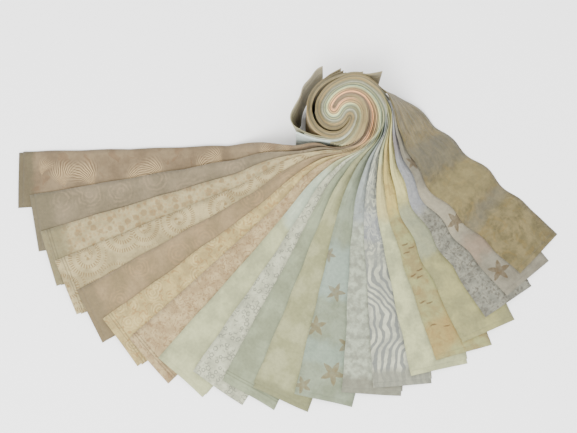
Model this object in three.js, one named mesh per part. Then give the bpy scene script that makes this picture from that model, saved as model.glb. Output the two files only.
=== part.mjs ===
// Twenty quilting-cotton strips, rolled together on edge and spread into a fan.
// Millimetres, +Z up. The fan opens towards -Y and the strips lie on z = 0.

import * as THREE from "three";

// Driving sizes
const STRIP_WIDTH = 63.5; // the cut width of a quilting strip, 2.5 inches
const CLOTH = 1; // a strip folded in half: two layers of cotton and the air between them
const ROLL_REACH = 42.5; // from the roll's middle to the line on which a strip leaves it
const FAN_CORE = 39; // from the fan's middle to the middle line of the first strip
const STRIP_PITCH = 0.75; // each further strip leaves from one layer further out
const FAN_DROP = 15; // the fan's middle is this far in front of the roll's middle
const TWIST_FROM = 14; // a strip stands on edge up to here, measured past the roll
const TWIST_TO = 134; // and lies down by here
const EARLY_SHARE = 0.28; // this much of the twist comes early
const EARLY_SPEED = 2.8; // and is over in a third of the way
const SHINGLE = 18.5; // sets how much each strip leans on the one below it
const LONGEST_TILT = Math.PI / 2; // a strip on edge

// The strips, from the lowest one, on the left, to the topmost one, on the right.
// heading: the way the strip points, in degrees, 0 along +X and -90 along -Y
// reach: from the roll's side to the strip's end
// start: where its own solid begins, past the roll's side
const STRIPS = [
  { heading: -178.5, reach: 365, start: 6, colour: 0xb39c80 },
  { heading: -170.4, reach: 357, start: 10, colour: 0xb0a08a },
  { heading: -163.5, reach: 355, start: 10, colour: 0xc9bb9e },
  { heading: -157.5, reach: 352, start: 10, colour: 0xcdbfa4 },
  { heading: -151, reach: 347, start: 10, colour: 0xb8a284 },
  { heading: -143.9, reach: 340, start: 10, colour: 0xc6b594 },
  { heading: -138, reach: 334, start: 10, colour: 0xcbb99b },
  { heading: -131.5, reach: 328, start: 10, colour: 0xc6c4ad },
  { heading: -124.6, reach: 319, start: 10, colour: 0xc9cac0 },
  { heading: -118.8, reach: 313, start: 10, colour: 0xb2b59d },
  { heading: -112.6, reach: 308, start: 10, colour: 0xbfbfa5 },
  { heading: -104, reach: 302, start: 10, colour: 0xb9beaf },
  { heading: -94.1, reach: 296, start: 10, colour: 0xc2c2bb },
  { heading: -87.5, reach: 292, start: 10, colour: 0xb9bbbc },
  { heading: -78.9, reach: 287, start: 10, colour: 0xc6c5ae },
  { heading: -72.7, reach: 281, start: 10, colour: 0xcbb98a },
  { heading: -65.5, reach: 275, start: 10, colour: 0xc8c09c },
  { heading: -57.7, reach: 264, start: 10, colour: 0xb8b3ac },
  { heading: -50.4, reach: 262, start: 10, colour: 0xb5b0a6 },
  { heading: -44, reach: 256, start: 10, colour: 0xa99d78 },
];

// The roll seen from above, round its middle: the wrap of cloth and its outer side
const ROLL_OUTLINE = [
  { angle: -90, radius: 41.7 },
  { angle: -45, radius: 41.7 },
  { angle: 0, radius: 41.7 },
  { angle: 45, radius: 41.7 },
  { angle: 75, radius: 40.5 },
  { angle: 96, radius: 40 },
  { angle: 127, radius: 40.5 },
  { angle: 155, radius: 42.5 },
  { angle: 185, radius: 43.8 },
  { angle: 215, radius: 42.8 },
  { angle: 245, radius: 41.7 },
];

// The narrow slot between the wound turns, from its mouth at the back to its inner end
const SLOT_WIDTH = 2.6;
const SLOT_LINE = [
  [2, 38.4],
  [-3.4, 34.9],
  [-17.4, 29.4],
  [-30.4, 17.6],
  [-36.6, -1.6],
  [-31, -19],
  [-13.7, -26],
  [0.1, -19.5],
  [3.6, -10.6],
];

// Loose ends of strips that stand on edge round the roll, as lines seen from above
const LOOSE_ENDS = [
  {
    name: "loose_end_left",
    colour: 0x9a917f,
    line: [
      [-33.4, -28.2],
      [-47.8, -25],
      [-58, -17],
      [-59.5, -6.7],
      [-49, 13.6],
      [-46.5, 24.5],
      [-37.8, 34.5],
      [-31.2, 43.5],
      [-24.7, 46.8],
    ],
  },
  {
    name: "loose_end_front",
    colour: 0xb5b6b0,
    line: [
      [-17.3, -38.9],
      [-27, -36.6],
      [-40, -31.8],
      [-53.6, -26.2],
    ],
  },
  {
    name: "loose_end_back",
    colour: 0x8f8468,
    line: [
      [-28.3, 31],
      [-17, 38.8],
      [-5.1, 44],
      [1, 44.5],
    ],
  },
  {
    name: "loose_end_right",
    colour: 0x9a917f,
    line: [
      [22, 36.2],
      [30, 38.6],
      [39.3, 41.1],
    ],
  },
];

const radians = (degrees) => (degrees * Math.PI) / 180;

function smooth(x) {
  const t = Math.min(1, Math.max(0, x));
  return t * t * (3 - 2 * t);
}

// The tilt of a strip at a distance past the roll: on edge, then down to a lean on the one below
function tiltAt(distance) {
  const lean = Math.asin(Math.min(1, SHINGLE / distance));
  const share = (distance - TWIST_FROM) / (TWIST_TO - TWIST_FROM);
  const lying = (1 - EARLY_SHARE) * smooth(share) + EARLY_SHARE * smooth(share * EARLY_SPEED);
  return (1 - lying) * LONGEST_TILT + lying * lean;
}

// A point on the strip's middle surface: distance past the roll, and across from its lower edge
function stripPoint(index, distance, across) {
  const angle = radians(STRIPS[index].heading);
  const ahead = new THREE.Vector2(Math.cos(angle), Math.sin(angle));
  const left = new THREE.Vector2(-ahead.y, ahead.x);
  const tilt = tiltAt(distance);
  const flatLine = FAN_CORE + STRIP_PITCH * index - FAN_DROP * left.y;
  const spread = 1 - Math.sin(tilt);
  const middle = ROLL_REACH + (flatLine - ROLL_REACH) * spread;
  const aside = middle + (STRIP_WIDTH / 2 - across) * Math.cos(tilt);
  return new THREE.Vector3(
    left.x * aside + ahead.x * distance,
    left.y * aside + ahead.y * distance,
    CLOTH / 2 + across * Math.sin(tilt),
  );
}

// A closed sheet of even thickness from rows of points on its middle surface
function sheetGeometry(rows, thickness) {
  const along = rows.length;
  const wide = rows[0].length;
  const normalAt = (i, j) => {
    const before = rows[Math.max(0, i - 1)][j];
    const after = rows[Math.min(along - 1, i + 1)][j];
    const lower = rows[i][Math.max(0, j - 1)];
    const upper = rows[i][Math.min(wide - 1, j + 1)];
    return after.clone().sub(before).cross(upper.clone().sub(lower)).normalize();
  };
  const positions = [];
  for (const side of [0.5, -0.5]) {
    for (let i = 0; i < along; i += 1) {
      for (let j = 0; j < wide; j += 1) {
        const point = rows[i][j].clone().addScaledVector(normalAt(i, j), side * thickness);
        positions.push(point.x, point.y, point.z);
      }
    }
  }
  const at = (side, i, j) => side * along * wide + i * wide + j;
  const triangles = [];
  const quad = (a, b, c, d) => triangles.push(a, b, c, a, c, d);
  for (let i = 0; i < along - 1; i += 1) {
    for (let j = 0; j < wide - 1; j += 1) {
      quad(at(0, i, j), at(0, i + 1, j), at(0, i + 1, j + 1), at(0, i, j + 1));
      quad(at(1, i, j), at(1, i, j + 1), at(1, i + 1, j + 1), at(1, i + 1, j));
    }
    quad(at(0, i, 0), at(1, i, 0), at(1, i + 1, 0), at(0, i + 1, 0));
    quad(at(0, i, wide - 1), at(0, i + 1, wide - 1), at(1, i + 1, wide - 1), at(1, i, wide - 1));
  }
  for (let j = 0; j < wide - 1; j += 1) {
    quad(at(0, 0, j), at(0, 0, j + 1), at(1, 0, j + 1), at(1, 0, j));
    quad(at(0, along - 1, j), at(1, along - 1, j), at(1, along - 1, j + 1), at(0, along - 1, j + 1));
  }
  const geometry = new THREE.BufferGeometry();
  geometry.setAttribute("position", new THREE.Float32BufferAttribute(positions, 3));
  geometry.setIndex(triangles);
  geometry.computeVertexNormals();
  return geometry;
}

function cloth(colour) {
  return new THREE.MeshStandardMaterial({ color: colour, roughness: 0.95, metalness: 0, side: THREE.DoubleSide });
}

function named(name, geometry, colour) {
  const mesh = new THREE.Mesh(geometry, cloth(colour));
  mesh.name = name;
  return mesh;
}

// One fan strip: short steps where it twists, long ones where it lies flat
function strip(index) {
  const { start, reach, colour } = STRIPS[index];
  const distances = [];
  for (let distance = start; distance < TWIST_TO + 6; distance += 6) {
    distances.push(distance);
  }
  const straight = 9;
  const from = distances[distances.length - 1];
  for (let step = 1; step <= straight; step += 1) {
    distances.push(from + ((reach - from) * step) / straight);
  }
  const across = [0, 0.25, 0.5, 0.75, 1].map((share) => share * STRIP_WIDTH);
  const rows = distances.map((distance) => across.map((width) => stripPoint(index, distance, width)));
  return named(`strip_${String(index + 1).padStart(2, "0")}`, sheetGeometry(rows, CLOTH), colour);
}

// The wound cloth: its outline, entered by the slot that shows between the turns
function roll() {
  const corners = ROLL_OUTLINE.map(({ angle, radius }) => {
    const turn = radians(angle);
    return new THREE.Vector3(Math.cos(turn) * radius, Math.sin(turn) * radius, 0);
  });
  const outline = new THREE.CatmullRomCurve3(corners, true, "centripetal").getPoints(88);
  const slot = new THREE.CatmullRomCurve3(SLOT_LINE.map(([x, y]) => new THREE.Vector3(x, y, 0)), false, "centripetal");
  const steps = 40;
  const side = (sign) => {
    const points = [];
    for (let i = 0; i <= steps; i += 1) {
      const place = slot.getPoint(i / steps);
      const way = slot.getTangent(i / steps);
      const half = (sign * SLOT_WIDTH) / 2;
      points.push(new THREE.Vector2(place.x - way.y * half, place.y + way.x * half));
    }
    return points;
  };
  const mouth = Math.atan2(SLOT_LINE[0][1], SLOT_LINE[0][0]);
  const halfMouth = 0.045;
  const wall = outline
    .slice(0, -1)
    .map((point) => ({ point: new THREE.Vector2(point.x, point.y), turn: Math.atan2(point.y, point.x) }))
    .map((entry) => ({ ...entry, past: (entry.turn - mouth + 4 * Math.PI) % (2 * Math.PI) }))
    .filter((entry) => entry.past > halfMouth && entry.past < 2 * Math.PI - halfMouth)
    .sort((a, b) => a.past - b.past)
    .map((entry) => entry.point);
  const shape = new THREE.Shape([...wall, ...side(1), ...side(-1).reverse()]);
  const geometry = new THREE.ExtrudeGeometry(shape, { depth: STRIP_WIDTH, bevelEnabled: false, steps: 1 });
  return named("roll", geometry, 0xb9ab8f);
}

function looseEnd({ name, colour, line }) {
  const curve = new THREE.CatmullRomCurve3(line.map(([x, y]) => new THREE.Vector3(x, y, 0)), false, "centripetal");
  const rows = curve.getSpacedPoints(line.length * 3).map((foot) =>
    [0, 1].map((share) => new THREE.Vector3(foot.x, foot.y, share * STRIP_WIDTH)),
  );
  return named(name, sheetGeometry(rows, CLOTH), colour);
}

const part = new THREE.Group();
part.name = "fabric_strips";
part.add(roll());
STRIPS.forEach((_, index) => part.add(strip(index)));
LOOSE_ENDS.forEach((end) => part.add(looseEnd(end)));

// The origin is the middle of the footprint, on the surface that the part lies on
const bounds = new THREE.Box3().setFromObject(part);
const middle = bounds.getCenter(new THREE.Vector3());
part.position.set(-middle.x, -middle.y, -bounds.min.z);
part.updateMatrixWorld(true);

export default part;
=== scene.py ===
# %% [markdown]
# # Quilting strips, rolled and fanned
# Twenty strips of pale batik cotton are each folded double, wound together on edge, and
# pulled out into a fan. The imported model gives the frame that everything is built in.

# %% Load the frame
import math

import bpy
import numpy as np
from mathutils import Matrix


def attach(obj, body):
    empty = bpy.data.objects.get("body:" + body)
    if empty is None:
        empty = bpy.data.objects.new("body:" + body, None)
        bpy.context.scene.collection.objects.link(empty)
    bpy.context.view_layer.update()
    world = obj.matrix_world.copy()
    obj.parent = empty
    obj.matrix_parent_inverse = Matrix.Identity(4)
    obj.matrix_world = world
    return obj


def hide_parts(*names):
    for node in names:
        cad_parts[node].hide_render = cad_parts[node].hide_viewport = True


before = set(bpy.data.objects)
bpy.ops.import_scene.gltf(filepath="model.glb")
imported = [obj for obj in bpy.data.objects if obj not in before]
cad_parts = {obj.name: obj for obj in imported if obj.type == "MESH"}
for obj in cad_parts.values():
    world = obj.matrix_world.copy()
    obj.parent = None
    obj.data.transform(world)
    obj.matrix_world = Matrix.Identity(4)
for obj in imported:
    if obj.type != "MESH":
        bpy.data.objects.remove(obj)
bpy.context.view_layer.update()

print("frame nodes:", len(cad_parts))

# %% [markdown]
# ## The camera
# The picture was taken from almost straight above, leaning a little towards the fan's
# open side, so both the roll's spiral and the lying strips show. A long lens keeps the
# fan's far ends from spreading. It is placed first, because the rest is judged through it.

# %% Camera
CAMERA_PLACE = (0.0028, -0.1612, 0.9816)
CAMERA_LEAN = 11
CAMERA_LENS = 56.15
SENSOR = 36
camera_data = bpy.data.cameras.new("studio_camera")
camera_data.sensor_width = SENSOR
camera_data.lens = CAMERA_LENS
camera = bpy.data.objects.new("studio_camera", camera_data)
camera.location = CAMERA_PLACE
camera.rotation_euler = (math.radians(CAMERA_LEAN), 0, 0)
bpy.context.scene.collection.objects.link(camera)
bpy.context.scene.camera = camera

# %% [markdown]
# ## The sizes of the set
# A strip is cut 63.5 mm wide across the whole cloth, about 1118 mm, and folded in half.
# Lengths here are millimetres round the roll's middle. The fan is a law and not a heap of
# separate shapes: each strip leaves the roll on edge, twists over a hand's breadth, and
# comes to lie on the one before it.

# %% Sizes
ROLL_MIDDLE = np.array([64.32, 134.57, 0.0])
STRIP_WIDTH = 63.5
ROLL_REACH = 42.5
FAN_CORE = 39
STRIP_PITCH = 0.75
FAN_DROP = 15
TWIST_FROM = 14
TWIST_TO = 134
EARLY_SHARE = 0.28
EARLY_SPEED = 2.8
SHINGLE = 18.5
FOOT = 0.5
COTTON = 0.3
BETWEEN_LAYERS = 0.34

# %% [markdown]
# Each strip has a row in a table: which way it points, how far it reaches, and how many
# degrees it is followed round the outside of the roll before it ends or works loose.

# %% The strips
STRIP_COLUMNS = ("heading", "reach", "wrapped")
STRIP_ROWS = (
    (-178.5, 365, 12),
    (-170.4, 357, 17),
    (-163.5, 355, 22),
    (-157.5, 352, 27),
    (-151, 347, 32),
    (-143.9, 340, 37),
    (-138, 334, 42),
    (-131.5, 328, 47),
    (-124.6, 319, 51),
    (-118.8, 313, 55),
    (-112.6, 308, 60),
    (-104, 302, 66),
    (-94.1, 296, 74),
    (-87.5, 292, 78),
    (-78.9, 287, 84),
    (-72.7, 281, 180),
    (-65.5, 275, 180),
    (-57.7, 264, 180),
    (-50.4, 262, 180),
    (-44, 256, 180),
)
STRIPS = [dict(zip(STRIP_COLUMNS, row)) for row in STRIP_ROWS]
COUNT = len(STRIPS)
HEADINGS = np.radians([strip["heading"] for strip in STRIPS])


def strip_name(index):
    return f"strip_{index + 1:02d}"


# %% [markdown]
# ## The fan
# Seen along its length a strip turns from upright to nearly flat. It never lies quite
# flat, since its edge leans on the strip below, and the lean gets less further out.
# Only the lowest strip has nothing under it but the table. Near the roll the first strips
# sag a little, the feet of the last ones stand out like a skirt, and the outermost edges
# wave from side to side.

# %% The fan's law
LOWEST_LEANS = (0.35, 0.8)
SAG = 11
SAGGING_STRIPS = 4
SAG_BEGINS = 26
SAG_ENDS = 118
FLARE = 23
FLARE_FROM = 15
FLARE_BEGINS = -14
FLARE_END = 100
FLARE_LIFT = 0.25
SIDE_WAVE = 2.6
SIDE_WAVE_LENGTH = 54
SIDE_WAVE_START = 83
WAVY_FROM = 13
WAVE_BEGINS = 55
WAVE_ENDS = 235


def ease(value):
    share = np.clip(value, 0, 1)
    return share * share * (3 - 2 * share)


def tilt_at(distance, index):
    shingle = SHINGLE * (LOWEST_LEANS[index] if index < len(LOWEST_LEANS) else 1)
    lean = np.arcsin(np.minimum(1, shingle / np.maximum(distance, 1)))
    share = (distance - TWIST_FROM) / (TWIST_TO - TWIST_FROM)
    lying = (1 - EARLY_SHARE) * ease(share) + EARLY_SHARE * ease(share * EARLY_SPEED)
    return (1 - lying) * math.pi / 2 + lying * lean


def directions(index):
    heading = HEADINGS[index]
    ahead = np.array([math.cos(heading), math.sin(heading)])
    left = np.array([-ahead[1], ahead[0]])
    return ahead, left


def pulled_aside(index, distance):
    """How far the first strips sag inwards by the roll, and how the last ones wave sideways."""
    sag = SAG * ease((SAGGING_STRIPS - index) / SAGGING_STRIPS)
    sag = sag * ease((distance - SAG_BEGINS) / 30) * ease((SAG_ENDS - distance) / 60)
    wave = SIDE_WAVE * ease((index - WAVY_FROM) / (COUNT - 1 - WAVY_FROM))
    wave = wave * ease((distance - WAVE_BEGINS) / 35) * ease((WAVE_ENDS - distance) / 60)
    return sag + wave * np.sin((distance - SIDE_WAVE_START) * 2 * math.pi / SIDE_WAVE_LENGTH)


def flared(surface, index, distance, across):
    """The feet of the last strips, moved out beside the roll and a little up."""
    share = FLARE * ease((index - FLARE_FROM) / (COUNT - 1 - FLARE_FROM))
    out = share * ease((distance - FLARE_BEGINS) / 34) * ease((FLARE_END - distance) / 80)
    out = out[:, None] * (1 - across / STRIP_WIDTH)
    left = directions(index)[1]
    return surface + np.stack([left[0] * out, left[1] * out, FLARE_LIFT * out], axis=-1)


def fan_points(index, distance, across):
    """Points on the strip's middle surface, from the distance past the roll and the way across."""
    ahead, left = directions(index)
    tilt = tilt_at(distance, index)
    flat_line = FAN_CORE + STRIP_PITCH * index - FAN_DROP * left[1]
    middle = ROLL_REACH + (flat_line - ROLL_REACH) * (1 - np.sin(tilt)) + pulled_aside(index, distance)
    aside = middle + (STRIP_WIDTH / 2 - across) * np.cos(tilt)
    x = left[0] * aside + ahead[0] * distance
    y = left[1] * aside + ahead[1] * distance
    z = FOOT + across * np.sin(tilt)
    return np.stack([x, y, z], axis=-1)


# %% [markdown]
# ## The roll
# All twenty strips were laid together, folded over, and wound up, so the roll is a double
# spiral: the pack comes in from the fan, turns back round a nose, and runs out again
# beside itself. Two centres describe it, the nose and the end of the open slot, and each
# strip keeps its own place in the pack. The winding is a little deeper than it is wide.

# %% The winding's two centres
SLOT_END = np.array([3.3, -10.5])
NOSE = np.array([-13.1, 1.4])
WINDING_STRETCH = 1.2
NOSE_SWELL = 0.1


def squashed(point):
    return np.array([point[0], SLOT_END[1] + (point[1] - SLOT_END[1]) / WINDING_STRETCH])


def stretched(points):
    drawn = np.array(points, float)
    drawn[:, 1] = SLOT_END[1] + (drawn[:, 1] - SLOT_END[1]) * WINDING_STRETCH
    return drawn


NOSE_CENTRE = squashed(NOSE)
PACK = float(np.linalg.norm(NOSE_CENTRE - SLOT_END))
AXIS = math.degrees(math.atan2(*(NOSE_CENTRE - SLOT_END)[::-1]))
LAYER = PACK / COUNT
print("pack of strips:", round(PACK, 1), "mm, one strip", round(LAYER, 2), "mm")

# %% [markdown]
# On its way out the pack sheds one strip after another on the circle where the fan
# begins, so the layers that are left spread into the room. The same polar angle round
# the slot's end serves for all of them.

# %% How the pack loosens
BULGE_ANGLES = (-95, -65, -38, -15, 10, 50, 90, 130, 149)
BULGE_DEPTHS = (4.9, 2.4, 0.1, 0, 1, 3, 2, 0.6, 0)
PACKED_AGAIN = 62


def exit_point(index):
    return ROLL_REACH * directions(index)[1]


def angle_round_slot(point):
    offset = squashed(point) - SLOT_END
    return math.degrees(math.atan2(offset[1], offset[0]))


EXIT_ANGLES = [angle_round_slot(exit_point(index)) for index in range(COUNT)]


def inner_limit(angle):
    return PACK + np.interp(angle, BULGE_ANGLES, BULGE_DEPTHS)


def outer_limit(angle):
    """The radius of the fan's circle, seen from the slot's end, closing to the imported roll."""
    turn = math.radians(angle)
    way = np.array([math.cos(turn), math.sin(turn) * WINDING_STRETCH])
    square = way @ way
    half = way @ SLOT_END
    circle = (-half + math.sqrt(half * half - square * (SLOT_END @ SLOT_END - ROLL_REACH**2))) / square
    packed = PACK + LAYER * (COUNT - 0.5)
    closing = ease((angle - EXIT_ANGLES[-1]) / PACKED_AGAIN)
    return circle + (packed - circle) * closing


def first_pass(index, angle):
    still_in = np.interp(angle, EXIT_ANGLES, range(COUNT)) + 0.5
    low = inner_limit(angle)
    return low + (outer_limit(angle) - low) * (index + 0.5) / still_in


# %% [markdown]
# A line with corners is made into cloth by averaging each point with its neighbours.
# The averaging is stronger where a strip swings from the winding onto its straight way.

# %% Lines that run smoothly
LINE_STEP = 0.5
GENTLE_SPREAD = 1.5
STRONG_SPREAD = 4
SWING_ENDS = 46


def evenly(points, step=LINE_STEP):
    points = np.array(points, float)
    along = np.r_[0, np.cumsum(np.linalg.norm(np.diff(points, axis=0), axis=1))]
    places = np.arange(0, along[-1], step)
    return np.stack([np.interp(places, along, points[:, axis]) for axis in (0, 1)], axis=1)


def averaged(points, spread):
    reach = int(3 * spread / LINE_STEP)
    weights = np.exp(-0.5 * (np.arange(-reach, reach + 1) * LINE_STEP / spread) ** 2)
    weights /= weights.sum()
    before = points[0] + (points[0] - points[1]) * np.arange(reach, 0, -1)[:, None]
    after = points[-1] + (points[-1] - points[-2]) * np.arange(1, reach + 1)[:, None]
    padded = np.vstack([before, points, after])
    return np.stack([np.convolve(padded[:, axis], weights, "valid") for axis in (0, 1)], axis=1)


def bow(centre, radius, start, end):
    """Points of a turn, in the squashed plane, with a radius that may change on the way."""
    points = []
    for angle in np.linspace(start, end, 60):
        reach = radius(angle) if callable(radius) else radius
        turn = math.radians(angle)
        points.append(centre + reach * np.array([math.cos(turn), math.sin(turn)]))
    return points


# %% [markdown]
# Past the slot the strips lie round the outside of the winding. The slot opens to a few
# millimetres, and the outer strips lie looser than the inner ones.

# %% The wrap outside the slot
SLOT_TURNS = (0, 45, 105, 150, 180)
SLOT_GAPS = (0, 3.3, 4.7, 4.3, 3.3)
WRAP_TURNS = (0, 80, 130, 180)
WRAP_LAYERS = (LAYER, 1.2, 1.3, 1.1)
TOP_GAP = 1.2
TOP_LAYER = 1.1
TOP_CLOSED = 85


def wrap_radius(index, turned):
    gap = np.interp(turned, SLOT_TURNS, SLOT_GAPS)
    layer = np.interp(turned, WRAP_TURNS, WRAP_LAYERS)
    return PACK + gap + (COUNT - 0.5 - index) * layer


def radius_at(line, angle):
    turns = np.degrees(np.arctan2(line[:, 1], line[:, 0]))
    order = np.argsort(turns)
    return np.interp(angle, turns[order], np.hypot(line[order, 0], line[order, 1]))


def top_pass(index, start, end_angle, under):
    """The wrap's way over the roll's back, kept outside the last strip of the first pass."""
    turn = math.degrees(math.atan2(start[1], start[0]))
    beyond = (COUNT - 1 - index) * TOP_LAYER
    slack = math.hypot(*start) - radius_at(under, turn) - beyond
    points = []
    for angle in np.arange(turn - 3, end_angle, -3):
        closed = ease((turn - angle) / (turn - TOP_CLOSED))
        radius = radius_at(under, angle) + slack + (TOP_GAP - slack) * closed + beyond
        points.append([radius * math.cos(math.radians(angle)), radius * math.sin(math.radians(angle))])
    return points


# %% [markdown]
# The far ends of some strips have worked loose and stand away from the roll: a wide flap
# on the left, a pale one in front of it, two at the back and a corner at the right.

# %% The loose ends
TOP_ENDS = {15: 129, 16: 123, 17: 114, 18: 67, 19: 64}
LOOSE_ENDS = {
    12: ((-31, -34.6), (-40, -31.8), (-53.6, -26.2)),
    13: ((-31, -32.9), (-37, -31.2), (-45, -28.2)),
    14: (
        (-36.5, -30.2),
        (-47.8, -25.3),
        (-58.2, -18.6),
        (-60.8, -9.5),
        (-55.5, 2),
        (-48.5, 13.6),
        (-46.9, 23.9),
        (-37.8, 33.4),
        (-31.2, 44.6),
        (-24.7, 46.8),
    ),
    15: ((-16.5, 38.4), (-5.1, 44.4)),
    16: ((-12.5, 38.2), (-2.6, 41.9)),
    17: ((-7, 38.2), (0.6, 39.8)),
    18: ((18.5, 40.6),),
    19: ((24, 37.8), (31, 39.2), (39.3, 41.1)),
}


def nose_radius(place, angle):
    """The turn round the nose is a little wider in its middle."""
    return place * (1 + NOSE_SWELL * math.sin(math.radians(angle - AXIS)))


def winding_turns(index):
    """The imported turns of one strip: in from the fan, round the nose, and back beside itself."""
    place = (index + 0.5) * LAYER
    first = bow(SLOT_END, lambda angle: first_pass(index, angle), EXIT_ANGLES[index] + 3, AXIS)
    nose = bow(NOSE_CENTRE, lambda angle: nose_radius(place, angle), AXIS, AXIS + 180)
    back = bow(SLOT_END, lambda angle: inner_limit(angle) * (1 - place / PACK), AXIS, AXIS - 180)
    wrapped = STRIPS[index]["wrapped"]
    wrap_start = AXIS - 180
    wrap = bow(
        NOSE_CENTRE,
        lambda angle: wrap_radius(index, wrap_start - angle),
        wrap_start,
        wrap_start - wrapped,
    )
    return first, nose + back + wrap


LAST_FIRST_PASS = stretched(winding_turns(COUNT - 1)[0])


def roll_line(index):
    """One strip's foot line, from where its twist starts to its far end in the roll."""
    ahead, left = directions(index)
    straight = [exit_point(index) + distance * ahead for distance in (TWIST_FROM, 10, 5, 0)]
    first, rest = winding_turns(index)
    line = straight + list(stretched(first)) + list(stretched(rest))
    if index in TOP_ENDS:
        line += top_pass(index, line[-1], TOP_ENDS[index], LAST_FIRST_PASS)
    wound = len(evenly(line)) * LINE_STEP
    line = evenly(line + [np.array(point) for point in LOOSE_ENDS.get(index, ())])
    gentle = averaged(line, GENTLE_SPREAD)
    strong = averaged(line, STRONG_SPREAD)
    along = np.arange(len(line)) * LINE_STEP
    swing = ease(along / 9) * ease((SWING_ENDS - along) / 24) + ease((along - wound) / 12)
    keep = ease(along / 6)[:, None]
    eased = gentle + (strong - gentle) * swing[:, None]
    return line + (eased - line) * keep


roll_lines = [roll_line(index) for index in range(COUNT)]
lengths = [strip["reach"] + len(line) * LINE_STEP for strip, line in zip(STRIPS, roll_lines)]
print("strip lengths, folded:", round(min(lengths)), "to", round(max(lengths)), "mm")


# %% [markdown]
# ## One strip as cloth
# The strip is a real double layer: one long sheet of thin cotton that runs from the
# fan's end to its far end in the roll, folds over there, and runs back underneath. The
# middle surface between the layers is worked out first, and the layers follow its normals.

# %% Places along and across a strip
FAN_STEP = 3
ROLL_STEP = 3
ENDS_APART = 5
ACROSS_CELLS = 12
draw = np.random.RandomState(20)
TIP_SKEWS = draw.uniform(-2.2, 2.2, COUNT)
ROLL_LIFTS = draw.uniform(0.2, 1.5, COUNT)
WAVE_STARTS = draw.uniform(0, 2 * math.pi, (COUNT, 4))


def fan_distances(reach):
    near_tip = [reach, reach - ENDS_APART / 2, reach - ENDS_APART]
    steps = round((near_tip[-1] - TWIST_FROM) / FAN_STEP)
    rest = np.linspace(near_tip[-1], TWIST_FROM, steps + 1)[1:]
    return np.r_[near_tip, rest]


# %% [markdown]
# Pressed cotton that has been wound never lies dead flat. Slow swells run across the fan
# in rings round the roll. They are one smooth change of space, the same for all strips,
# so the strips stay nested, and it dies out at the table and in the tight roll.

# %% Swells in the spread cloth
SWELL_RISE = 3.4
SWELL_SHIFT = 0.5
SWELL_FLOOR = 4
CALM_ROLL = 48
CALM_EDGE = 60
SWELL_MIX = (0.5, 0.28, 0.22)


def swelled(points):
    x, y, z = points[..., 0], points[..., 1], points[..., 2]
    away = np.hypot(x, y)
    round_roll = np.arctan2(y, x)
    spread = ease((away - CALM_ROLL) / CALM_EDGE)
    rings = np.sin(away / 11.5 + 2.4 * np.sin(round_roll * 2.3 + 0.8))
    cross = np.sin(x / 19 + y / 31 + 1.1) * np.cos(y / 17 - x / 43)
    off_table = 1 - np.exp(-z / SWELL_FLOOR)
    steady, ringed_share, crossed_share = SWELL_MIX
    rise = SWELL_RISE * (steady + ringed_share * rings + crossed_share * cross) * off_table
    aside = SWELL_SHIFT * np.sin(y / 13 + x / 37 + 0.4) * np.sin(away / 29)
    onward = SWELL_SHIFT * np.sin(x / 14 - y / 33 + 2.1) * np.sin(away / 33 + 1)
    return points + spread[..., None] * np.stack([aside, onward, rise], axis=-1)


# %% [markdown]
# In the roll the strips stand on edge, and no two stand at quite the same height, which
# is what gives the top of the spiral its fine relief. The wide flap on the left leans.

# %% The middle surface of a strip
FLAP = 14
FLAP_LEAN = 9
FLAP_CLEAR = 46


def leaning(index, line, across):
    """The left flap's foot comes in towards the roll, where there is room for it."""
    away = np.linalg.norm(line, axis=1)[:, None, None]
    room = ease((away - FLAP_CLEAR) / 12) if index == FLAP else np.zeros_like(away)
    inward = -line[:, None, :] / away
    return inward * room * FLAP_LEAN * (1 - across / STRIP_WIDTH)[None, :, None]


def middle_surface(index):
    strip = STRIPS[index]
    across = np.linspace(0, STRIP_WIDTH, ACROSS_CELLS + 1)
    distance = fan_distances(strip["reach"])
    slant = ease((distance - strip["reach"] + 60) / 60) * TIP_SKEWS[index]
    slanted = distance[:, None] + slant[:, None] * (across / STRIP_WIDTH - 0.5)
    fan = fan_points(index, slanted, across[None, :])
    line = roll_lines[index]
    keep = np.unique(np.r_[np.arange(ROLL_STEP, len(line), ROLL_STEP), len(line) - 1])
    along_roll = keep * LINE_STEP
    first, second = WAVE_STARTS[index, :2]
    uneven = 1 + 0.5 * np.sin(along_roll / 9 + first) + 0.35 * np.sin(along_roll / 21 + second)
    lift = ROLL_LIFTS[index] * uneven * ease(along_roll / 30)
    roll = np.empty((len(keep), len(across), 3))
    roll[..., :2] = line[keep][:, None, :] + leaning(index, line[keep], across)
    roll[..., 2] = FOOT + across[None, :] + lift[:, None]
    along = np.r_[strip["reach"] - distance, strip["reach"] - TWIST_FROM + along_roll]
    past_roll = np.r_[distance, TWIST_FROM - along_roll]
    surface = flared(np.vstack([fan, roll]), index, past_roll, across)
    return swelled(surface), along, across


# %% [markdown]
# The two layers meet in the fold, and the upper one starts two rows further in, so both
# cut ends show. A half turn of small steps joins the layers, and every point carries its
# own outward direction, so the cotton's thickness can be added at the end.

# %% Two layers and the fold between them
FOLD_STEPS = 3
UPPER_START = 2


def unit(vectors):
    return vectors / np.maximum(np.linalg.norm(vectors, axis=-1, keepdims=True), 1e-9)


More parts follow.
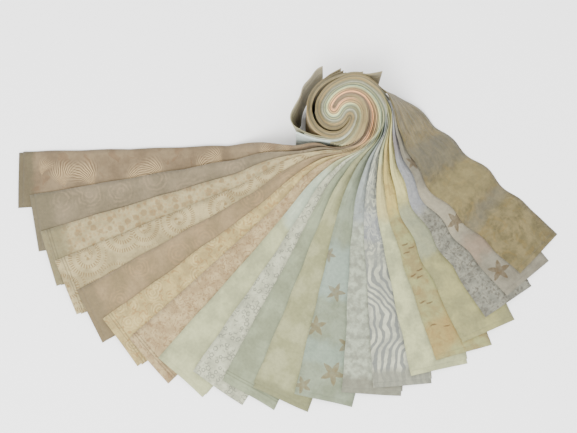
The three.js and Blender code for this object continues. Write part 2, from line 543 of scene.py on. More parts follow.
def folded_layers(surface, along, across, index):
    onward = unit(np.gradient(surface, axis=0))
    over = unit(np.gradient(surface, axis=1))
    outward = unit(np.cross(onward, over))
    half = BETWEEN_LAYERS / 2
    third, fourth = WAVE_STARTS[index, 2:]
    slip = (0.45 * np.sin(along / 31 + third) + 0.3 * np.sin(along / 12 + fourth))[:, None, None]
    upper = surface + outward * half + over * slip
    lower = surface - outward * half - over * slip
    fold_turns = np.linspace(0, math.pi, FOLD_STEPS + 2)[1:-1]
    fold_points = []
    fold_ways = []
    for turn in fold_turns:
        way = outward[-1] * math.cos(turn) + onward[-1] * math.sin(turn)
        share = turn / math.pi
        start = upper[-1] * (1 - share) + lower[-1] * share
        fold_points.append(start + onward[-1] * half * math.sin(turn))
        fold_ways.append(way)
    points = np.vstack([upper[UPPER_START:], fold_points, lower[::-1]])
    ways = np.vstack([outward[UPPER_START:], fold_ways, -outward[::-1]])
    travelled = np.r_[along[UPPER_START:], [along[-1]] * FOLD_STEPS, along[::-1]]
    wide = np.broadcast_to(across, points.shape[:2])
    travelled = np.broadcast_to(travelled[:, None], points.shape[:2])
    return points, ways, travelled, wide


# %% [markdown]
# The closed mesh has an outer and an inner skin, joined round all four edges. The cloth's
# own measure, millimetres along and across, goes with it as a map, so the printed
# patterns lie on the strip as they do on the real one.

# %% Mesh of a double sheet
MM = 0.001
TABLE_GAP = 0.05
CLOTH_MAP = "cloth_measure"


def skin_faces(rows, columns, start, flipped):
    first = start + np.arange(rows - 1)[:, None] * columns + np.arange(columns - 1)[None, :]
    corners = np.stack([first, first + columns, first + columns + 1, first + 1], axis=-1)
    corners = corners.reshape(-1, 4)
    return corners[:, ::-1] if flipped else corners


def edge_faces(ring, offset):
    onward = np.roll(ring, -1)
    return np.stack([ring, onward, onward + offset, ring + offset], axis=-1)


def sheet_mesh(name, points, ways, travelled, wide):
    rows, columns = points.shape[:2]
    total = rows * columns
    skins = np.vstack([
        (points + ways * COTTON / 2).reshape(-1, 3),
        (points - ways * COTTON / 2).reshape(-1, 3),
    ])
    skins[:, 2] = np.maximum(skins[:, 2], TABLE_GAP)
    places = (skins + ROLL_MIDDLE) * MM
    grid = np.arange(total).reshape(rows, columns)
    ring = np.r_[grid[0, :-1], grid[:-1, -1], grid[-1, :0:-1], grid[:0:-1, 0]]
    faces = np.vstack([
        skin_faces(rows, columns, 0, False),
        skin_faces(rows, columns, total, True),
        edge_faces(ring, total),
    ])
    mesh = bpy.data.meshes.new(name)
    mesh.from_pydata(places.tolist(), [], faces.tolist())
    measure = np.tile(np.stack([travelled, wide], axis=-1).reshape(-1, 2), (2, 1)) * MM
    corner_points = np.empty(len(mesh.loops), int)
    mesh.loops.foreach_get("vertex_index", corner_points)
    cloth_map = mesh.uv_layers.new(name=CLOTH_MAP)
    cloth_map.data.foreach_set("uv", measure[corner_points].astype(np.float32).ravel())
    mesh.shade_smooth()
    mesh.update()
    return mesh


# %% [markdown]
# Each piece stands for its own solid and for the wound roll, and the strips whose far
# ends stand loose stand for those too.

# %% Make the strips
LOOSE_NODES = {
    12: ("loose_end_front",),
    14: ("loose_end_left",),
    15: ("loose_end_back",),
    16: ("loose_end_back",),
    17: ("loose_end_back",),
    19: ("loose_end_right",),
}
pieces = []
for index in range(COUNT):
    surface, along, across = middle_surface(index)
    layers = folded_layers(surface, along, across, index)
    name = f"cotton_{strip_name(index)}"
    piece = bpy.data.objects.new(name, sheet_mesh(name, *layers))
    bpy.context.scene.collection.objects.link(piece)
    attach(piece, "root")
    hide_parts(strip_name(index), "roll", *LOOSE_NODES.get(index, ()))
    pieces.append(piece)
print("pieces:", len(pieces), "faces each:", [len(piece.data.polygons) for piece in pieces][:3])


# %% [markdown]
# ## Cotton
# All the strips are one kind of cloth, fine plain-woven cotton dyed by batik, so one
# helper lays down what they share: the threads, the soft creases of wound cloth, slow
# changes of dye, and a dry, barely shining surface. Every pattern then only has to say
# where its colours go.
#
# Blender's standard view flattens bright tones, as film does. A tone below is written as
# it should look in the picture, and the helper deepens it to the dye that gives that look.

# %% Helpers for the dye recipes
TONE_GAINS = (0.081, 0.086, 0.086)
TONE_POWER = 1.75
TONE_LIMIT = 0.95


def tone(code):
    """The dye for a colour that should look like the hex code under this studio's light."""
    parts = [int(code[start:start + 2], 16) / 255 for start in (0, 2, 4)]
    dyes = [gain * part**TONE_POWER / (1 - part / TONE_LIMIT) for gain, part in zip(TONE_GAINS, parts)]
    return (*dyes, 1)


class Dye:
    """The node tree of one cotton, with short calls for the steps that the patterns share."""

    def __init__(self, name, index):
        self.leaves_roll = STRIPS[index]["reach"]
        self.far_end = lengths[index]
        self.roll_code, self.tail_code = EDGE_CODES[index]
        self.material = bpy.data.materials.new(name)
        self.material.use_nodes = True
        self.tree = self.material.node_tree
        self.shader = self.tree.nodes["Principled BSDF"]
        measure = self.add("ShaderNodeUVMap", uv_map=CLOTH_MAP)
        self.cloth = self.vector("SCALE", measure.outputs["UV"], scale=1 / MM)
        split = self.add("ShaderNodeSeparateXYZ", {"Vector": self.cloth})
        self.along = split.outputs["X"]
        self.across = split.outputs["Y"]

    def add(self, kind, inputs=None, **settings):
        node = self.tree.nodes.new(kind)
        for key, value in settings.items():
            setattr(node, key, value)
        for key, value in (inputs or {}).items():
            self.feed(node.inputs[key], value)
        return node

    def feed(self, socket, value):
        if isinstance(value, bpy.types.NodeSocket):
            self.tree.links.new(value, socket)
        else:
            socket.default_value = value

    def math(self, operation, first, second=0.0, third=0.0):
        node = self.add("ShaderNodeMath", operation=operation)
        for socket, value in zip(node.inputs, (first, second, third)):
            self.feed(socket, value)
        return node.outputs[0]

    def vector(self, operation, first, second=(0, 0, 0), scale=1.0):
        node = self.add("ShaderNodeVectorMath", operation=operation)
        self.feed(node.inputs[0], first)
        if operation == "SCALE":
            self.feed(node.inputs["Scale"], scale)
        elif operation != "LENGTH":
            self.feed(node.inputs[1], second)
        return node.outputs["Value" if operation == "LENGTH" else "Vector"]

    def rise(self, value, low, high):
        """0 below low, 1 above high, and a soft step between; low may be the larger one."""
        node = self.add("ShaderNodeMapRange", interpolation_type="SMOOTHSTEP")
        for key, number in (("Value", value), ("From Min", low), ("From Max", high)):
            self.feed(node.inputs[key], number)
        return node.outputs[0]

    def both(self, first, second):
        return self.math("MULTIPLY", first, second)

    def plus(self, first, second):
        return self.math("ADD", first, second)

    def mix(self, share, first, second):
        node = self.add("ShaderNodeMix", data_type="RGBA")
        self.feed(node.inputs["Factor"], share)
        self.feed(node.inputs["A"], first)
        self.feed(node.inputs["B"], second)
        return node.outputs["Result"]

    def speckle(self, size, detail=2.0, seed=0, stretch=(1, 1), warp=0.0):
        """Soft random spots about as large as size, in millimetres."""
        place = self.add(
            "ShaderNodeMapping",
            {"Vector": self.cloth, "Location": (seed * 131.7, seed * 57.3, 0), "Scale": (*stretch, 1)},
        )
        settings = {"Vector": place.outputs[0], "Scale": 1 / size, "Detail": detail, "Distortion": warp}
        return self.add("ShaderNodeTexNoise", settings, noise_dimensions="2D").outputs["Fac"]

    def cells(self, size, seed, loose):
        """Scattered spots: the distance and the way from the nearest one, and its own random colour."""
        place = self.vector("ADD", self.cloth, (seed * 83.1, seed * 37.9, 0))
        settings = {"Vector": place, "Scale": 1 / size, "Randomness": loose}
        spots = self.add("ShaderNodeTexVoronoi", settings, voronoi_dimensions="2D")
        way = self.vector("SUBTRACT", place, spots.outputs["Position"])
        chance = self.add("ShaderNodeSeparateColor", {"Color": spots.outputs["Color"]})
        return self.polar(way), chance.outputs

    def polar(self, way):
        parts = self.add("ShaderNodeSeparateXYZ", {"Vector": way}).outputs
        return self.vector("LENGTH", way), self.math("ARCTAN2", parts["Y"], parts["X"])

    def around(self, along, across, turned):
        """Distance and angle from a named spot on the cloth."""
        distance, angle = self.polar(self.vector("SUBTRACT", self.cloth, (along, across, 0)))
        return distance, self.plus(angle, math.radians(turned))

    def line(self, value, centre, half_width, soft):
        """1 where value is within half_width of centre."""
        off = self.math("ABSOLUTE", self.math("SUBTRACT", value, centre))
        return self.rise(off, half_width + soft, half_width)

    def stripes(self, phase, share, soft):
        """Stripes from a phase that counts them; share shifts between thin and broad."""
        wave = self.math("SINE", self.both(phase, 2 * math.pi))
        return self.rise(wave, share - soft, share + soft)

    def weigh(self, value, factor, plus=0.0):
        return self.math("MULTIPLY_ADD", value, factor, plus)

    def print_on(self, colour, marks, code, strength=1.0):
        """A mark's dye over the colour below it."""
        return self.mix(self.both(marks, strength), colour, tone(code))

    def wound(self, colour):
        """The deeper tones of the cut edges in the roll, some darkened as painted shade, and of the
        strip's far end outside it.
        """
        in_roll = self.rise(self.along, self.leaves_roll - 20, self.leaves_roll + 16)
        colour = self.print_on(colour, in_roll, self.roll_code, ROLL_SHARE)
        tail = self.rise(self.along, self.far_end - TAIL, self.far_end - TAIL + 30)
        return self.print_on(colour, tail, self.tail_code, TAIL_SHARE)

    def finish(self, colour):
        """The colour gets its dye drift, threads, and painted light and shade of the creases near the
        roll, and the cloth its dry surface.
        """
        drift = self.speckle(46, 3, seed=11)
        fine = self.speckle(3.5, 3, seed=12)
        gathered_from = self.leaves_roll - GATHERED
        near_roll = self.rise(self.along, gathered_from, self.leaves_roll - GATHER_FULL)
        streaks = self.speckle(5, 3, seed=15, stretch=(0.08, 1))
        gathers = self.both(self.weigh(streaks, 1, -0.5), near_roll)
        shade = self.plus(self.weigh(drift, DRIFT_SHADE, 0.8), self.weigh(fine, FINE_SHADE, -0.08))
        # Painted light and shade: the gathers' lines make the colour lighter and darker near the roll.
        shade = self.plus(shade, self.weigh(gathers, GATHER_PAINTED_SHADE))
        warp = self.math("SINE", self.both(self.along, 2 * math.pi / THREAD))
        weft = self.math("SINE", self.both(self.across, 2 * math.pi / THREAD))
        weave = self.both(warp, weft)
        shade = self.both(shade, self.weigh(weave, THREAD_SHADE, 1 - THREAD_SHADE))
        tinted = self.add("ShaderNodeMix", data_type="RGBA", blend_type="MULTIPLY")
        grey = self.add("ShaderNodeCombineColor", {"Red": shade, "Green": shade, "Blue": shade})
        self.feed(tinted.inputs["Factor"], 1.0)
        self.feed(tinted.inputs["A"], self.wound(colour))
        self.feed(tinted.inputs["B"], grey.outputs[0])
        self.feed(self.shader.inputs["Base Color"], tinted.outputs["Result"])
        self.feed(self.shader.inputs["Roughness"], self.weigh(fine, 0.12, 0.84))
        self.shader.inputs["Sheen Weight"].default_value = 0.1
        self.shader.inputs["Sheen Roughness"].default_value = 0.6
        self.shader.inputs["Specular IOR Level"].default_value = 0.25
        creases = self.weigh(self.speckle(17, 4, seed=13, stretch=(1, 0.5), warp=0.6), CREASE_DEPTH)
        puckers = self.weigh(self.speckle(3.2, 2, seed=14), PUCKER_DEPTH)
        height = self.plus(self.plus(creases, puckers), self.weigh(weave, THREAD_DEPTH))
        height = self.plus(height, self.weigh(gathers, GATHER_DEPTH))
        bump = self.add("ShaderNodeBump", {"Height": height, "Distance": MM, "Strength": 1.0})
        self.feed(self.shader.inputs["Normal"], bump.outputs["Normal"])
        return self.material


# %% [markdown]
# Quilting cotton has about thirty threads a centimetre. They are too fine to see from
# where the camera stands, but they break the light up close. Depths are millimetres.
# Towards the roll, over the last 170 mm, the cloth is gathered into fine lengthwise lines, and their
# light and shade are also painted into the colour.
# In the roll only the strips' long edges show. Their tones run from peach at the nose through
# grey-green to khaki outside, and every second or third strip is a little darker, as painted shade
# between the turns, so the turns can be told apart. The second tone of a row is for the strip's far
# end.

# %% Threads, creases and the roll's tones
THREAD = 0.66
THREAD_SHADE = 0.035
THREAD_DEPTH = 0.03
CREASE_DEPTH = 1.9
PUCKER_DEPTH = 0.3
GATHERED = 170
GATHER_FULL = 40
GATHER_PAINTED_SHADE = 0.8
GATHER_DEPTH = 2.4
DRIFT_SHADE = 0.2
FINE_SHADE = 0.36
ROLL_SHARE = 0.7
TAIL = 85
TAIL_SHARE = 0.9
# In the first tones, every second or third strip is darker: painted shade between the turns of the
# roll.
EDGE_CODES = (
    ("c6baa6", "cec6aa"),
    ("c0b09a", "d0c8ae"),
    ("ded2c2", "cec6aa"),
    ("e6dcc8", "ccc4a8"),
    ("c8b89e", "c8c0a4"),
    ("e0d6c0", "ccc4a8"),
    ("ccc4b0", "d0c8b0"),
    ("e0decc", "cecab4"),
    ("d8dace", "c8c6b2"),
    ("bcbeae", "c2bca4"),
    ("d4d2c0", "c0ba9e"),
    ("babcac", "c0baa0"),
    ("d6d4ca", "d4d6d4"),
    ("ccc8ba", "d4d2ca"),
    ("bab29a", "cac4b4"),
    ("d4c8ac", "b4aa8e"),
    ("cec4a8", "aca288"),
    ("b8ae92", "a89e84"),
    ("ccc2a4", "bcb49c"),
    ("c6bc9e", "bcb49c"),
)

# %% [markdown]
# ## Patterns
# Batik is printed with wax stamps, so a motif has soft edges and comes again and again
# with small changes. Each pattern below is one short recipe: scattered cells give the
# places, a few waves in polar measure give the shape.

# %% Plain and mottled cottons
END_SEED = 3
BORDER_PLACES = (7.5, 10.5)
BORDER_HALF = 0.35


def mottled(dye, light, dark, size, seed):
    cloud = dye.rise(dye.speckle(size, 4, seed), 0.32, 0.68)
    return dye.mix(cloud, tone(light), tone(dark))


def end_band(dye, colour, code, reach):
    """The dye at the strip's cut end, where the cloth's own border shows."""
    ragged = dye.plus(dye.along, dye.weigh(dye.speckle(18, 3, END_SEED), 14, -7))
    return dye.print_on(colour, dye.rise(ragged, reach, reach * 0.55), code, 0.8)


def border_lines(dye, colour, code, places=BORDER_PLACES):
    """The thin woven lines beside the cloth's border."""
    for place in places:
        colour = dye.print_on(colour, dye.line(dye.along, place, BORDER_HALF, 0.5), code, 0.45)
    return colour


def blotched(dye, colour, code, size, seed, level, strength, warp=0.6):
    spots = dye.rise(dye.speckle(size, 3, seed, (1, 1), warp), level, level + 0.07)
    return dye.print_on(colour, spots, code, strength)


def patch(dye, colour, code, start, end, seed, strength=0.6, slope=0.0):
    """A stretch of the strip in another tone, with soft, uneven ends: some are dye, and some are
    painted light or painted shade.
    """
    place = dye.plus(dye.along, dye.weigh(dye.across, slope))
    place = dye.plus(place, dye.weigh(dye.speckle(16, 3, seed), 20, -10))
    stretch = dye.both(dye.rise(place, start - 7, start + 7), dye.rise(place, end + 7, end - 7))
    return dye.print_on(colour, stretch, code, strength)


# %% [markdown]
# Rings, dots and scrolls are all distances from a scattered point. A scroll is a ring
# whose distance grows with the angle, and short dashes cut it crosswise like a ladder.

# %% Rings, dots and scrolls
def ringed(dye, colour, code, size, pitch, seed, strength):
    (distance, _), _ = dye.cells(size, seed, 0.9)
    uneven = dye.plus(distance, dye.weigh(dye.speckle(7, 2, seed), pitch))
    rings = dye.stripes(dye.weigh(uneven, 1 / pitch), 0.15, 0.8)
    near = dye.rise(distance, size * 0.62, size * 0.3)
    worn = dye.rise(dye.speckle(12, 2, seed + 1), 0.36, 0.56)
    return dye.print_on(colour, dye.both(dye.both(rings, near), worn), code, strength)


def dotted(dye, colour, code, size, radius, seed, strength):
    (distance, _), chance = dye.cells(size, seed, 0.9)
    ragged = dye.plus(distance, dye.weigh(dye.speckle(2.4, 2, seed), 2, -1))
    reach = dye.weigh(chance["Red"], radius, radius * 0.35)
    dots = dye.rise(dye.math("SUBTRACT", ragged, reach), 0.7, -0.6)
    return dye.print_on(colour, dots, code, strength)


def hooped(dye, colour, code, size, radius, seed, strength):
    (distance, angle), chance = dye.cells(size, seed, 1.0)
    reach = dye.weigh(chance["Green"], radius * 0.6, radius * 0.6)
    wavy = dye.plus(reach, dye.weigh(dye.math("SINE", dye.both(angle, 5)), 0.25))
    hoop = dye.rise(dye.math("ABSOLUTE", dye.math("SUBTRACT", distance, wavy)), 0.75, 0.2)
    worn = dye.rise(dye.speckle(9, 2, seed + 1), 0.4, 0.52)
    return dye.print_on(colour, dye.both(hoop, worn), code, strength)


def scrolled(dye, colour, code, size, pitch, dash, seed, strength):
    (distance, angle), chance = dye.cells(size, seed, 0.7)
    turned = dye.weigh(angle, 1 / (2 * math.pi))
    phase = dye.math("SUBTRACT", dye.weigh(distance, 1 / pitch), turned)
    phase = dye.plus(phase, chance["Red"])
    band = dye.stripes(phase, 0.0, 0.3)
    ring = dye.math("FLOOR", dye.weigh(distance, 1 / pitch, 0.5))
    ladder = dye.stripes(dye.both(turned, dye.weigh(ring, 2 * math.pi * pitch / dash, 3)), 0.1, 0.5)
    inside = dye.rise(distance, size * 0.68, size * 0.5)
    return dye.print_on(colour, dye.both(dye.both(band, ladder), inside), code, strength)


# %% [markdown]
# The first strip carries sprays of fern. Each grows from a foot at a named spot, opens
# into a fan of fine rays, light and dark by turns, that bend as they go, and it is brown
# where the rays start.

# %% Fern sprays
LIGHT_RAYS = 0.85
DARK_RAYS = 0.8
SPRAY_COLUMNS = ("along", "across", "way", "spread", "reach", "bend")
SPRAY_ROWS = (
    (52, 24, 118, 62, 33, 0.02),
    (84, 22, 104, 52, 38, -0.014),
    (122, 22, 70, 60, 32, 0.03),
    (26, 36, 96, 44, 22, 0.03),
    (160, 26, 112, 56, 36, -0.02),
    (200, 30, 68, 56, 30, 0.02),
    (228, 42, 120, 50, 26, -0.015),
    (272, 46, 70, 50, 22, 0.02),
    (305, 50, 120, 50, 20, -0.02),
)
RAY_GAP = 7.5


def ferned(dye, colour, light, dark, foot_code):
    for row in SPRAY_ROWS:
        spray = dict(zip(SPRAY_COLUMNS, row))
        distance, angle = dye.around(spray["along"], spray["across"], -spray["way"])
        whole_turns = dye.math("ROUND", dye.weigh(angle, 1 / (2 * math.pi)))
        angle = dye.math("SUBTRACT", angle, dye.both(whole_turns, 2 * math.pi))
        bent = dye.plus(angle, dye.weigh(distance, spray["bend"]))
        ragged = dye.plus(bent, dye.weigh(dye.speckle(14, 2, 33), 0.2, -0.1))
        half = math.radians(spray["spread"])
        fan = dye.rise(dye.math("ABSOLUTE", ragged), half, half * 0.35)
        fan = dye.both(fan, dye.rise(distance, spray["reach"], spray["reach"] * 0.35))
        phase = dye.weigh(ragged, 180 / math.pi / RAY_GAP)
        rays = dye.stripes(phase, 0.2, 0.6)
        gaps = dye.stripes(dye.plus(phase, 0.5), 0.2, 0.6)
        foot = dye.rise(distance, spray["reach"] * 0.6, 1)
        colour = dye.print_on(colour, fan, light, 0.12)
        colour = dye.print_on(colour, dye.both(gaps, fan), light, LIGHT_RAYS)
        colour = dye.print_on(colour, dye.both(rays, fan), dark, DARK_RAYS)
        colour = dye.print_on(colour, dye.both(dye.both(rays, fan), foot), foot_code, 0.7)
    return colour


# %% [markdown]
# Stars are a folk motif with five points. The edge of a star is a radius that goes up
# and down five times a turn, with straight flanks. Streaks are thin bars at named spots.

# %% Stars and streaks
def starred(dye, colour, code, spots, strength=0.85):
    """Stars at named spots: how far along, how far across, how large, and how turned."""
    ragged = dye.weigh(dye.speckle(3, 2, 21), 2.2, -1.1)
    worn = dye.weigh(dye.speckle(5, 3, 22), 0.9, 0.4)
    for along, across, size, turned in spots:
        distance, angle = dye.around(along, across, turned)
        fifth = dye.math("FRACT", dye.weigh(angle, 5 / (2 * math.pi), 10))
        point = dye.both(dye.math("ABSOLUTE", dye.math("SUBTRACT", fifth, 0.5)), 2)
        edge = dye.weigh(dye.math("POWER", point, 1.35), size * 0.62, size * 0.38)
        star = dye.rise(dye.math("SUBTRACT", dye.plus(distance, ragged), edge), 0.6, -0.6)
        colour = dye.print_on(colour, dye.both(star, worn), code, strength)
    return colour


STREAK_LENGTH = 8
STREAK_WIDTH = 1.7
STREAK_SPOTS = (
    (61, 50),
    (64, 57),
    (91, 52),
    (95, 58),
    (99, 49),
    (121, 57),
    (125, 50),
    (130, 56),
    (33, 40),
    (37, 54),
)


def streaked(dye, colour, code, strength=0.75):
    wander = dye.weigh(dye.speckle(8, 2, 184), 5, -2.5)
    for along, across in STREAK_SPOTS:
        length_way = dye.rise(
            dye.math("ABSOLUTE", dye.math("SUBTRACT", dye.across, across)),
            STREAK_LENGTH / 2 + 1,
            STREAK_LENGTH / 2 - 2,
        )
        thin = dye.line(dye.plus(dye.along, wander), along, STREAK_WIDTH / 4, STREAK_WIDTH / 2)
        colour = dye.print_on(colour, dye.both(length_way, thin), code, strength)
    return colour


# %% [markdown]
# The animal stripes are one wave whose phase is pushed up and down along the strip, so
# the bands run level, climb and fall; farther in they break up into patches.

# %% Animal stripes and sprigs
def banded(dye, colour, code, pitch, seed):
    climb = dye.both(dye.rise(dye.along, 32, 52), 12)
    fall = dye.both(dye.rise(dye.along, 76, 118), -30)
    wander = dye.weigh(dye.speckle(22, 2, seed), 13)
    phase = dye.plus(dye.plus(dye.across, dye.plus(climb, fall)), wander)
    bands = dye.stripes(dye.weigh(phase, 1 / pitch), 0.1, 0.3)
    broken = dye.rise(dye.speckle(7, 2, seed + 1, (0.6, 1), 1.6), 0.47, 0.52)
    inner = dye.rise(dye.along, 122, 150)
    colour = dye.print_on(colour, dye.both(bands, dye.weigh(inner, -0.9, 1)), code, 0.9)
    return dye.print_on(colour, dye.both(broken, inner), code, 0.7)


def sprigged(dye, colour, code, size, seed, strength):
    wavy = dye.speckle(size, 3, seed, (1, 1), 1.5)
    sprig = dye.line(wavy, 0.5, 0.012, 0.022)
    leaves = dye.line(dye.speckle(size * 0.45, 2, seed + 2, (1, 0.5), 0.8), 0.5, 0.02, 0.03)
    where = dye.rise(dye.speckle(size * 2, 1, seed + 1), 0.4, 0.5)
    marks = dye.plus(dye.both(sprig, 0.75), dye.both(dye.both(leaves, where), 0.5))
    near_end = dye.rise(dye.along, 150, 105)
    return dye.print_on(colour, dye.both(dye.math("MINIMUM", marks, 1), near_end), code, strength)


# %% [markdown]
# ## The twenty cottons
# They go from rosy tan on the left through cream, white and grey-green to ochre, pale
# lavender and olive on the right.

# %% Left side: tans and creams
def rosy_fern(dye):
    colour = mottled(dye, "b4a58b", "a69479", 30, 31)
    colour = blotched(dye, colour, "9e7a54", 14, 34, 0.58, 0.3)
    colour = ferned(dye, colour, "d2c8b0", "92724e", "865428")
    return end_band(dye, colour, "948a6e", 22)


def taupe_rings(dye):
    colour = mottled(dye, "b2a690", "a69a82", 30, 41)
    return end_band(dye, ringed(dye, colour, "c4b7a2", 36, 4.6, 42, 0.3), "9e947a", 34)


def cream_dots(dye):
    colour = mottled(dye, "c8c0a6", "beb496", 18, 51)
    colour = dotted(dye, colour, "ae9468", 9.5, 2.7, 52, 0.5)
    colour = dotted(dye, colour, "c0a678", 4.6, 1.3, 53, 0.35)
    colour = end_band(dye, colour, "aca486", 34)
    return border_lines(dye, colour, "8a8068")


def cream_scrolls(dye):
    colour = mottled(dye, "ccc4aa", "c0b698", 20, 61)
    colour = scrolled(dye, colour, "a68448", 38, 9, 2.6, 62, 0.6)
    return border_lines(dye, colour, "847a62")


def tan_rings(dye):
    colour = mottled(dye, "bcad90", "b1a282", 28, 71)
    return end_band(dye, ringed(dye, colour, "c8b696", 34, 3.8, 72, 0.32), "a89a7c", 26)


def golden_blotches(dye):
    colour = mottled(dye, "ccc29e", "c2b690", 16, 81)
    colour = blotched(dye, colour, "bca06c", 6, 82, 0.55, 0.55, 1.2)
    colour = ringed(dye, colour, "d4ccb0", 20, 3.2, 83, 0.5)
    return border_lines(dye, colour, "928a6e")


def peach_blotches(dye):
    colour = mottled(dye, "ccc2a8", "c2b496", 14, 91)
    colour = blotched(dye, colour, "ae9066", 5, 92, 0.56, 0.5, 1.4)
    colour = blotched(dye, colour, "b49a7a", 3.4, 93, 0.57, 0.4)
    return border_lines(dye, colour, "82795f")


# %% Middle: whites and grey-greens
STAR_SPOTS_PALE = (
    (30, 29, 14, 90),
    (74, 58, 12, 60),
    (115, 46, 11, 82),
    (153, 63, 9, 20),
    (11, 57, 10, 40),
    (63, 20, 11, 75),
)


def pale_green(dye):
    colour = mottled(dye, "cccbb6", "c2c1aa", 24, 101)
    return patch(dye, colour, "c8ccc6", 200, 270, 102)


def white_hoops(dye):
    colour = mottled(dye, "cecdc2", "c4c3b6", 14, 111)
    colour = hooped(dye, colour, "96948a", 6.2, 1.9, 112, 0.7)
    return blotched(dye, colour, "b4b2a6", 4, 113, 0.6, 0.4)


def grey_green(dye):
    colour = mottled(dye, "bcbeac", "b1b39e", 26, 121)
    return border_lines(dye, colour, "94977a", (9, 12))


def cream_green(dye):
    colour = mottled(dye, "c4c2aa", "bab89a", 22, 131)
    return end_band(dye, colour, "aeac8e", 14)


def green_stars(dye):
    colour = mottled(dye, "b7baab", "adb09d", 20, 141)
    colour = patch(dye, colour, "bcc2bc", 108, 166, 142, 0.7)
    colour = patch(dye, colour, "bcc4be", 36, 60, 143, 0.4)
    return starred(dye, colour, "a69468", STAR_SPOTS_PALE, 0.75)


def white_mottle(dye):
    colour = mottled(dye, "c6c7bd", "b6b6aa", 7, 151)
    colour = patch(dye, colour, "b8babc", 180, 320, 152, 0.6)
    colour = blotched(dye, colour, "aca89a", 5, 153, 0.6, 0.4)
    return end_band(dye, colour, "aaa698", 22)


def zebra(dye):
    colour = mottled(dye, "cfcec5", "c2c1b8", 16, 161)
    colour = banded(dye, colour, "a8a8a4", 8.2, 162)
    colour = patch(dye, colour, "aeaeb6", 155, 190, 163, 0.4)
    return end_band(dye, colour, "b2b0a4", 22)


# %% Right side: yellows, lavender and olive
STAR_SPOTS_GREY = (
    (26, 50, 13, 30),
    (98, 51, 12, 55),
    (62, 14, 12, 10),
    (138, 22, 11, 70),
    (176, 55, 9, 35),
    (215, 30, 11, 15),
)


def cream_blush(dye):
    colour = mottled(dye, "cdccb6", "c2c1aa", 18, 171)
    return patch(dye, colour, "d0c8a2", 170, 225, 172, 0.6)


def ochre_streaks(dye):
    colour = mottled(dye, "bebc98", "b8ae86", 16, 181)
    # Painted light: the paler ochre stretch near the roll brightens cloth that lies in shade there.
    colour = patch(dye, colour, "d0c692", 165, 236, 182, 0.7)
    colour = patch(dye, colour, "c2b07a", 22, 62, 185, 0.6, 0.35)
    colour = blotched(dye, colour, "b49e6a", 9, 183, 0.6, 0.35)
    return streaked(dye, colour, "8c6440")


def yellow_green(dye):
    colour = mottled(dye, "c0bc98", "b4b08e", 20, 191)
    colour = patch(dye, colour, "b8bcb4", 100, 160, 192, 0.4)
    # Painted light: the paler stretch near the roll brightens cloth that lies in shade there.
    return patch(dye, colour, "d6d2b4", 168, 262, 193, 0.7)


def lavender_sprigs(dye):
    colour = mottled(dye, "b6b3a8", "a6a398", 11, 201)
    colour = sprigged(dye, colour, "74604e", 13, 202, 0.6)
    colour = dotted(dye, colour, "7c7268", 5.5, 1.1, 203, 0.5)
    # Painted light: the paler stretch near the roll brightens cloth that lies in shade there.
    colour = patch(dye, colour, "bebdc0", 136, 250, 204, 0.6)
    return patch(dye, colour, "a08478", 196, 216, 205, 0.4)


def lavender_stars(dye):
    colour = mottled(dye, "b2ac9e", "a69f90", 16, 211)
    colour = patch(dye, colour, "beaa96", 48, 76, 212, 0.4)
    colour = patch(dye, colour, "c6c0b2", 84, 150, 213, 0.5)
    return starred(dye, colour, "8c7650", STAR_SPOTS_GREY)


def olive_mottle(dye):
    colour = mottled(dye, "aa9e78", "968a62", 13, 221)
    colour = blotched(dye, colour, "a69258", 11, 222, 0.55, 0.4)
    colour = blotched(dye, colour, "857853", 15, 226, 0.58, 0.45)
    colour = ringed(dye, colour, "bcae86", 60, 6, 223, 0.22)
    colour = patch(dye, colour, "9c9688", 72, 88, 224, 0.5, 0.1)
    colour = patch(dye, colour, "b8ae88", 92, 128, 227, 0.4, -0.1)
    # Painted shade: the dark olive-grey stretch at 132 to 168 mm stands for the shade in a dip of the
    # cloth.
    return patch(dye, colour, "908a7a", 132, 168, 225, 0.6, -0.25)


# %% [markdown]
# Every strip gets its own cotton. The same recipe runs on down the roll, so the spiral's
# fine rings carry the fan's colours in the fan's order.

# %% Dye the strips
COTTONS = (
    rosy_fern,
    taupe_rings,
    cream_dots,
    cream_scrolls,
    tan_rings,
    golden_blotches,
    peach_blotches,
    pale_green,
    white_hoops,
    grey_green,
    cream_green,
    green_stars,
    white_mottle,
    zebra,
    cream_blush,
    ochre_streaks,
    yellow_green,
    lavender_sprigs,
    lavender_stars,
    olive_mottle,
)
for index, (piece, cotton) in enumerate(zip(pieces, COTTONS)):
    dye = Dye(cotton.__name__, index)
    piece.data.materials.append(dye.finish(cotton(dye)))
print("cottons:", len(COTTONS))

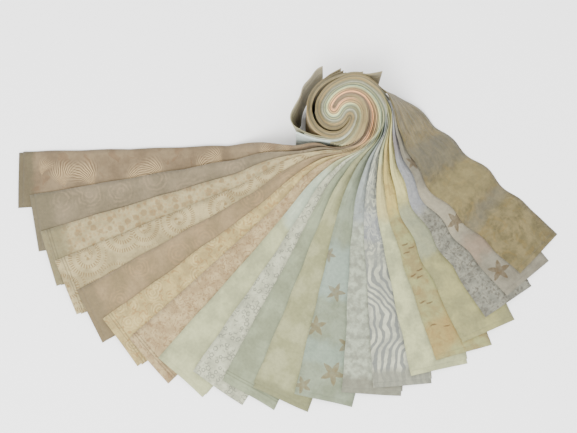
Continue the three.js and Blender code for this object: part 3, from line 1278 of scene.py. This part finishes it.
# %% [markdown]
# ## The studio
# A plain pale floor, a soft light high in front on the left and an even sky of white
# keep the cloth bright and the shadows faint, as in a catalogue picture.

# %% Floor and lights
FLOOR_HALF = 2.5
FLOOR_GREY = 0.95
SKY_STRENGTH = 2.0
KEY_PLACE = (-0.5, -1.0, 1.7)
KEY_SIZE = 0.9
KEY_POWER = 68
FILL_PLACE = (0.9, 0.6, 1.6)
FILL_SIZE = 1.6
FILL_POWER = 10
floor_mesh = bpy.data.meshes.new("studio_floor")
corners = [(-FLOOR_HALF, -FLOOR_HALF, 0), (FLOOR_HALF, -FLOOR_HALF, 0)]
corners += [(FLOOR_HALF, FLOOR_HALF, 0), (-FLOOR_HALF, FLOOR_HALF, 0)]
floor_mesh.from_pydata(corners, [], [(0, 1, 2, 3)])
floor = bpy.data.objects.new("studio_floor", floor_mesh)
bpy.context.scene.collection.objects.link(floor)
floor_paint = bpy.data.materials.new("studio_floor")
floor_paint.use_nodes = True
floor_shader = floor_paint.node_tree.nodes["Principled BSDF"]
floor_shader.inputs["Base Color"].default_value = (FLOOR_GREY, FLOOR_GREY, FLOOR_GREY, 1)
floor_shader.inputs["Roughness"].default_value = 0.9
floor_mesh.materials.append(floor_paint)

sky = bpy.data.worlds.new("studio_sky")
sky.use_nodes = True
sky.node_tree.nodes["Background"].inputs["Color"].default_value = (1, 1, 1, 1)
sky.node_tree.nodes["Background"].inputs["Strength"].default_value = SKY_STRENGTH
bpy.context.scene.world = sky


def soft_light(name, place, size, power):
    """A square lamp that looks at the frame's origin."""
    data = bpy.data.lights.new(name, "AREA")
    data.shape = "SQUARE"
    data.size = size
    data.energy = power
    light = bpy.data.objects.new(name, data)
    light.location = place
    way = -np.array(place)
    turn = math.atan2(way[1], way[0])
    drop = math.atan2(math.hypot(way[0], way[1]), -way[2])
    light.rotation_euler = (drop, 0, turn - math.pi / 2)
    bpy.context.scene.collection.objects.link(light)


soft_light("key_light", KEY_PLACE, KEY_SIZE, KEY_POWER)
soft_light("fill_light", FILL_PLACE, FILL_SIZE, FILL_POWER)
